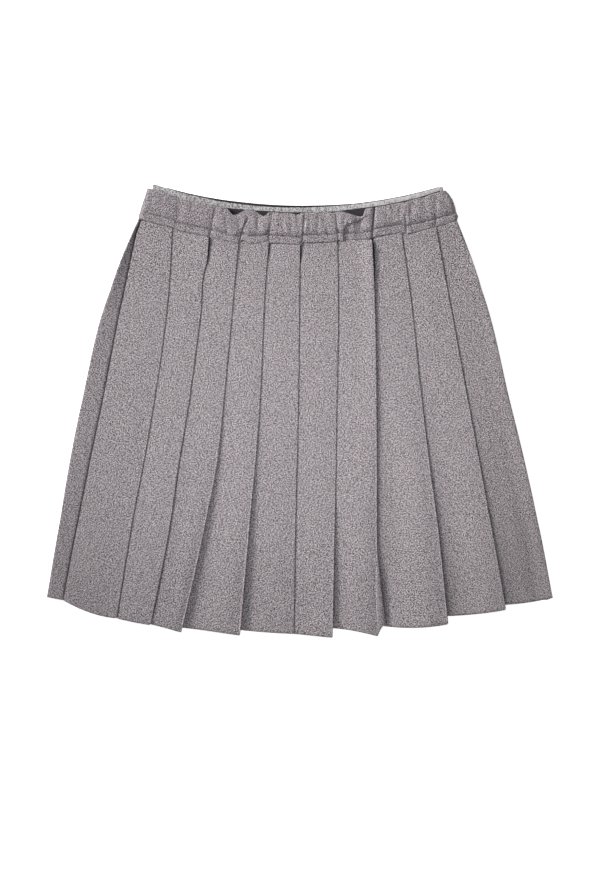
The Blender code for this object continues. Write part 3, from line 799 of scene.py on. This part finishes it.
# Depth of the channel's groove, in millimetres, and how much of the gathers there is, both at x.
GROOVE_DEPTHS = ((-150, 1.5), (-125, 3), (0, 3), (30, 1.5))
DRAWN_UP = ((-155, 0.4), (-84, 0.5), (-66, 1), (72, 1), (110, 0.6))

# Gathers: how wide, long and high they are in millimetres, and which of their chance patterns is taken.
Gather = namedtuple("Gather", "width length height pattern")
BROAD_GATHER = Gather(8, 26, 1.6, 3.1)
FINE_GATHER = Gather(3.4, 11, 0.5, 7.7)
PUCKER = Gather(2.2, 8, 0.6, 1.7)
BACK_WAVE = Gather(9, 25, 0.25, 5)

# Ends of the bands: share of the height from seam to top, and x in millimetres.
BandEnd = namedtuple("BandEnd", "share right_x left_x")
BAND_ENDS = (
    BandEnd(0, -161.6, 156.6),
    BandEnd(0.13, -160.9, 158),
    BandEnd(0.30, -159.2, 155.7),
    BandEnd(0.45, -157.7, 154.8),
    BandEnd(0.65, -155.8, 152.6),
    BandEnd(0.88, -153.6, 148.8),
    BandEnd(1, -152.8, 145.9),
)

# Dips of the front waistband's top edge: where, how far down, and how wide to either side.
Dip = namedtuple("Dip", "x drop left right")
DIPS = (
    Dip(-122, 0.8, 6, 6),
    Dip(-84, 0.6, 8, 4),
    Dip(-66.6, 6.4, 8, 14),
    Dip(-36, 4.2, 10.5, 6),
    Dip(-3, 1.6, 9, 5),
    Dip(34, 0.9, 8, 4),
    Dip(62.5, 7.2, 24, 3.6),
    Dip(74.2, 4.4, 1.8, 1.8),
    Dip(105.5, 0.8, 5, 4),
    Dip(124, 0.9, 6, 6),
)

# Creases of the front waistband: x and share of the height at both ends, how deep and how wide.
Crease = namedtuple("Crease", "top_x top_share seam_x seam_share depth width")
CREASES = (
    Crease(-120, 0.85, -123.5, 0, 0.8, 2.6),
    Crease(-84.5, 0.95, -90, 0, 1.6, 1.7),
    Crease(-61.5, 0.85, -62.5, 0.5, 0.5, 2.5),
    Crease(-52, 0.82, -60.8, 0, 3, 1.15),
    Crease(-41.5, 0.90, -42.5, 0.5, 0.7, 1.6),
    Crease(-30, 0.60, -31, 0, 2.2, 1),
    Crease(-21.5, 0.90, -23, 0.4, 0.5, 2.2),
    Crease(-9, 0.90, -9.5, 0.4, 0.5, 2),
    Crease(4.8, 0.95, 2.2, 0, 2, 1.5),
    Crease(35.8, 1.00, 38.4, 0, 1, 1.1),
    Crease(74.4, 1.05, 72, 0, 4.2, 0.95),
    Crease(98.5, 0.85, 99.5, 0.45, 0.7, 2.5),
    Crease(105, 0.60, 106.6, 0, 1.3, 1.3),
    Crease(112, 0.95, 110, 0.55, 0.7, 2.2),
    Crease(135, 0.75, 136, 0, 0.9, 2.2),
)

# Edges of the tuck beside the deepest crease, in millimetres: cloth above and to the left of them lies over
# the cloth inside.
TUCK_SLANT = ((45.2, 185.2), (57, 189.4), (66.9, 194.6))  # x, y
TUCK_UPRIGHT = ((167, 43.2), (181, 43.6), (185.2, 45.2))  # y, x
TUCK_SPAN = (35.0, 75.0)
TUCK_DEPTH = 2.4 * MM
TUCK_SOFT = 0.7  # its edges are this wide
TUCK_FADE = (60.0, 74.0)  # from one x to the other it gets shallower
TUCK_LEFT = 0.35  # until this share of the depth is left


def dip_at(x):
    """How far the front's top edge lies below its plain curve."""
    drop = FRONT_TOP_SINKS * ease((SINK_END - abs(x)) / SINK_FADE)
    for dip in DIPS:
        away = (x / MM - dip.x) / (dip.left if x / MM < dip.x else dip.right)
        drop += dip.drop * MM * ease(1 - abs(away))
    return drop


def crease_depth(x, share):
    """How deep the creases of the front waistband are at a point on it."""
    depth = 0.0
    for crease in CREASES:
        along = (share - crease.seam_share) / (crease.top_share - crease.seam_share)
        centre = crease.seam_x + (crease.top_x - crease.seam_x) * along
        fade = ease((1 + CREASE_FADE - along) / (2 * CREASE_FADE))
        fade *= ease((along + CREASE_FADE) / (2 * CREASE_FADE))
        depth += crease.depth * MM * fade * math.exp(-((x / MM - centre) / crease.width) ** 2)
    return depth


def tuck_drop(x, y):
    """How far the cloth inside the tuck lies below the cloth around it."""
    x, y = x / MM, y / MM
    if not TUCK_SPAN[0] <= x <= TUCK_SPAN[1]:
        return 0.0
    inside = min(from_table(TUCK_SLANT, x) - y, x - from_table(TUCK_UPRIGHT, y))
    fade = ease((TUCK_FADE[1] - x) / (TUCK_FADE[1] - TUCK_FADE[0]))
    return TUCK_DEPTH * ease(inside / TUCK_SOFT + 0.5) * (TUCK_LEFT + (1 - TUCK_LEFT) * fade)


def band_end(share, side):
    """x of a band's end on one side, at a share of its height."""
    column = 1 if side < 0 else 2
    return float(np.interp(share, [e.share for e in BAND_ENDS], [e[column] for e in BAND_ENDS])) * MM


def band_point(along, share, inside, levels):
    """x and z on a band, along it from 0 to 1, between its outer face (inside 0) and inner face (1)."""
    seam_level, outer_level, inner_level = levels
    left, right = band_end(share, -1), band_end(share, 1)
    end, inward = (left, 1) if along < 0.5 else (right, -1)
    from_end = min(along, 1 - along) * (right - left)
    turn = BAND_TURN - INNER_TURN * inside
    shift = BAND_INSIDE * inside * (1 - from_end / ((right - left) / 2))
    rounded = math.sqrt(max(0.0, 1 - max(0.0, 1 - from_end / turn) ** 2))
    level = outer_level + (inner_level - outer_level) * inside
    return end + inward * (from_end + shift), seam_level + (level - seam_level) * rounded


def channel_share(x):
    """Share of the front waistband's height at its sewn channel."""
    return CHANNEL / (arc_y(FRONT_TOP, x) - front_seam_y(x))


def gather_height(gather, x, y):
    """Chance rise and fall of drawn-up cloth."""
    place = Vector((x / (gather.width * MM), y / (gather.length * MM), gather.pattern))
    return noise.noise(place) * gather.height * MM


def front_band_relief(x, y, share):
    """Height of the front waistband's outer face above its plain level."""
    channel = channel_share(x)
    from_seam = max(0.0, share) * (arc_y(FRONT_TOP, x) - front_seam_y(x))
    above = min(max((share - channel) / (1 - channel), 0.0), 1.0)
    roll = BAND_ROLL * (1 - math.sqrt(1 - max(0.0, 1 - from_seam / BAND_ROLL) ** 2))
    strip = STRIP_TILT * min(share / channel, 1.0)
    groove = from_table(GROOVE_DEPTHS, x / MM) * MM * math.exp(-((from_seam - CHANNEL) / GROOVE_WIDTH) ** 2)
    puff = PUFF * ease(above * PUFF_STEEP) * (1 - PUFF_LOSS * ease((above - PUFF_FALLS) / (1 - PUFF_FALLS)))
    gathers = gather_height(BROAD_GATHER, x, y) + gather_height(FINE_GATHER, x, y)
    pucker = gather_height(PUCKER, x, y) * math.exp(-((from_seam - CHANNEL) / PUCKER_WIDTH) ** 2)
    gathers *= from_table(DRAWN_UP, x / MM)
    gathers *= STRIP_GATHERS + (1 - STRIP_GATHERS) * ease(share / channel - 0.6)
    return (strip - STRIP_TILT * above + puff - roll - groove + gathers + pucker
            - crease_depth(x, share) - tuck_drop(x, y))


END_SHARE = 0.018  # share of a band's width at each end where its columns are closer
END_STEPS = 12
OUTER_STEPS = 46
OVER_STEPS = 9
INNER_STEPS = 9


def band_rows(levels, seam_y, top_y, relief, columns):
    """Rows of a doubled band: up its outer face, over the top edge and down its inner face."""
    spots = np.concatenate([np.linspace(0, END_SHARE, END_STEPS)[:-1],
                            np.linspace(END_SHARE, 1 - END_SHARE, columns),
                            np.linspace(1 - END_SHARE, 1, END_STEPS)[1:]])
    loop = [(share, 0.0, 0.0) for share in np.linspace(0.0, 1.0, OUTER_STEPS)]
    loop += [(1.0, (1 - math.cos(a)) / 2, math.sin(a)) for a in np.linspace(0, math.pi, OVER_STEPS)[1:-1]]
    loop += [(share, 1.0, 0.0) for share in np.linspace(1.0, 0.0, INNER_STEPS)]
    rows = []
    for share, inside, over in loop:
        row = []
        for along in spots:
            x, z = band_point(along, share, inside, levels)
            low, high = seam_y(x) + BAND_SEAM, top_y(x) - TOP_TURN
            y = low + (high - low) * share + TOP_TURN * over
            row.append((x, y, z + relief(x, y, share) * (1 - inside)))
        rows.append(row)
    return rows


def front_top_y(x):
    return arc_y(FRONT_TOP, x) - dip_at(x)


# The same flannel made a little darker: painted shade of the gathered bands.
band_flannel_painted_shade = melange_flannel("band_melange_flannel_painted_shade", "#e5dbe0", "#161214")

# Levels of the seam, the outer face and the inner face.
front_levels = (SIDE_SEAM_LEVEL + SEAM_GAP / 2 + BAND_CLOTH / 2, FRONT_BAND_OUTER - BAND_CLOTH / 2,
                FRONT_BAND_INNER)
front_rows = band_rows(front_levels, front_seam_y, front_top_y, front_band_relief, 520)
front_band = cloth_piece("front_waistband_gathered", front_rows, BAND_CLOTH, band_flannel_painted_shade)
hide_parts("front_waistband")


# The channel's seam: pairs of needle pulls, sunk in the groove, that show as short stitches darkened with
# painted shade of their needle holes.
STITCH_PITCH = 2.4 * MM
STITCH_LENGTH = 1.7 * MM
STITCH_THICK = 0.7 * MM
PLY = 0.5 * MM

# Spun polyester thread, two-ply: dull, with a faint lighter twist; its charcoal colour is painted shade of
# the needle holes.
tree, shader, thread_painted_shade = new_material("spun_polyester_thread_painted_shade", {"Roughness": 0.7})
place = add_node(tree, "TexCoord").outputs["Object"]
ply = add_node(tree, "TexNoise", {"Vector": place, "Scale": 1 / PLY, "Detail": 2.0}).outputs["Fac"]
coloured(tree, shader, ply, 0.0, 1.0, "#252324", "#4d494b", ply, 0.4, 0.1 * MM)


def channel_point(x):
    """A point on the front waistband's outer face, in the groove of its channel."""
    share = channel_share(x)
    low = front_seam_y(x) + BAND_SEAM
    y = low + (front_top_y(x) - TOP_TURN - low) * share
    return Vector((x, y, FRONT_BAND_OUTER + front_band_relief(x, y, share) + 0.05 * MM))


bm = bmesh.new()
x = band_end(0.3, -1) + BAND_TURN
while x < band_end(0.3, 1) - BAND_TURN:
    start, end = channel_point(x), channel_point(x + STITCH_LENGTH)
    turn = (end - start).to_track_quat("X", "Z")
    size = Vector(((end - start).length / 2, STITCH_THICK / 2, STITCH_THICK / 2))
    bmesh.ops.create_uvsphere(bm, u_segments=8, v_segments=6, radius=1.0,
                              matrix=Matrix.LocRotScale((start + end) / 2, turn, size))
    x += STITCH_PITCH
for face in bm.faces:
    face.smooth = True
channel_stitches = finished(bm, "channel_stitches", thread_painted_shade)
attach(channel_stitches, "root")


CORNER_DROP = 6.5 * MM  # the back waistband's top edge is this much lower at its ends
CORNER_WIDTH = 3.5 * MM


def back_band_relief(x, y, share):
    return -gather_height(BACK_WAVE, x, y)


def back_top_y(x):
    from_end = min(x - band_end(1.0, -1), band_end(1.0, 1) - x)
    return arc_y(BACK_TOP, x) - CORNER_DROP * (1 - ease(from_end / CORNER_WIDTH - 1.0))


back_levels = (SIDE_SEAM_LEVEL - SEAM_GAP / 2 - BAND_CLOTH / 2, BAND_CLOTH / 2 + 0.3 * MM,
               BACK_BAND_TOP - BAND_CLOTH / 2)
back_rows = band_rows(back_levels, back_seam_y, back_top_y, back_band_relief, 160)
back_band = cloth_piece("back_waistband_flat", [row[::-1] for row in back_rows], BAND_CLOTH, band_flannel_painted_shade)
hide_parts("back_waistband")


# --------------------------------------------
# Waist elastic.  Pale knitted elastic with glossy filling yarn, zigzagged to the inside of the back
# waistband a little below its top edge, so that a narrow strip of it shows above the front.

ELASTIC_WIDTH = 24 * MM
ELASTIC_LEVEL = 3.8 * MM
ELASTIC_WALL = 0.9 * MM
ELASTIC_LEFT = -147.6 * MM
ELASTIC_RIGHT = 143.2 * MM
END_DROP = 1.2 * MM  # its top edge rounds down at the ends by this much
END_WIDTH = 1.6 * MM
# Painted shade: a dark strip of the jersey cloth along the elastic's top edge stands for the shadow line
# there.
SHADOW_LINE_LEFT = -133 * MM
SHADOW_LINE_RIGHT = 139 * MM
SHADOW_LINE_WALL = 0.5 * MM
SHADOW_LINE_BACK = 0.25 * MM
SHADOW_LINE_LEAN = 0.3 * MM  # its top lies this much above the elastic, its lower edge as much below
RIB = 2.4 * MM  # ribs and flecks of the knitting, a little coarser than real to show
FLECK = 1.1 * MM

# How far the strip stands above the back waistband's curve, and how much of that is a dark strip of the
# jersey cloth behind it, painted shade for the shadow line along the band's top edge: x and distance in
# millimetres.
STRIP_STANDS = (
    (-150, 1.4), (-128, 1.3), (-100, 1.2), (-80, 1.3), (-60, 1.6), (-20, 1.5), (10, 1.4),
    (35, 1), (55, 0.5), (100, 0.5), (143, 0.6),
)
SHADOW_LINE_SHOWS = (
    (-150, 0.2), (-128, 0.9), (-100, 1.6), (-80, 2.1), (-60, 2.6), (-20, 2.5), (10, 2),
    (35, 1.5), (55, 0.9), (100, 0.9), (143, 0.7),
)

# Knitted elastic: white covered rubber and pale grey filling, so it is flecked, and paler where it is slack.
tree, shader, knitted_elastic = new_material("pale_knitted_elastic", {"Roughness": 0.6})
cut = add_node(tree, "UVMap", uv_map="cut").outputs["UV"]
ribs = add_node(tree, "TexWave", {"Vector": cut, "Scale": 1 / RIB, "Distortion": 2.0},
                wave_type="BANDS", bands_direction="DIAGONAL")
flecks = add_node(tree, "TexVoronoi", {"Vector": cut, "Scale": 1 / FLECK}, voronoi_dimensions="2D")
fleck = add_node(tree, "SeparateColor", {"Color": flecks.outputs["Color"]}).outputs["Green"]
height = add_node(tree, "Math", {0: ribs.outputs["Fac"], 1: 0.35, 2: fleck},
                  operation="MULTIPLY_ADD").outputs[0]
along = add_node(tree, "SeparateXYZ", {"Vector": cut}).outputs["X"]
slack = add_node(tree, "MapRange", {"Value": along, "From Min": 0.0, "From Max": 0.13, "To Min": 0.0,
                                    "To Max": 0.34}).outputs["Result"]
paler = add_node(tree, "Math", {0: height, 1: slack}, operation="ADD").outputs[0]
coloured(tree, shader, paler, 0.1, 1.0, "#4a4849", "#dddbdc", height, 0.5, 0.3 * MM)


def strip_rows(left, right, columns, downs, point):
    """Rows of a strip; point gives a place at x and a share of the way down."""
    return [[point(left + (right - left) * along, down) for along in np.linspace(0.0, 1.0, columns)]
            for down in downs]


def elastic_point(x, down):
    rounding = END_DROP * (1 - ease(min(x - ELASTIC_LEFT, ELASTIC_RIGHT - x) / END_WIDTH))
    stands, dark = (from_table(table, x / MM) * MM for table in (STRIP_STANDS, SHADOW_LINE_SHOWS))
    y = arc_y(BACK_TOP, x) + stands - dark - rounding - (ELASTIC_WIDTH - rounding) * down
    return x, y, ELASTIC_LEVEL


def shadow_line_point(x, down):
    stands, dark = (from_table(table, x / MM) * MM for table in (STRIP_STANDS, SHADOW_LINE_SHOWS))
    y = arc_y(BACK_TOP, x) + stands - SHADOW_LINE_BACK - (dark + SHADOW_LINE_LEAN) * down
    return x, y, ELASTIC_LEVEL + SHADOW_LINE_LEAN - 2 * SHADOW_LINE_LEAN * down


elastic_rows = strip_rows(ELASTIC_LEFT, ELASTIC_RIGHT, 150, np.linspace(1.0, 0.0, 20), elastic_point)
elastic = cloth_piece("waist_elastic_knitted", elastic_rows, ELASTIC_WALL, knitted_elastic)
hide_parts("waist_elastic")

# Painted shade: a dark strip of the jersey cloth, standing a thread's width above the elastic, for the shadow
# line along the back waistband's top edge.
shadow_line_rows = strip_rows(SHADOW_LINE_LEFT, SHADOW_LINE_RIGHT, 110, (1.0, 0.66, 0.33, 0.0), shadow_line_point)
shadow_line_strip = cloth_piece("painted_shadow_line", shadow_line_rows, SHADOW_LINE_WALL, jersey)
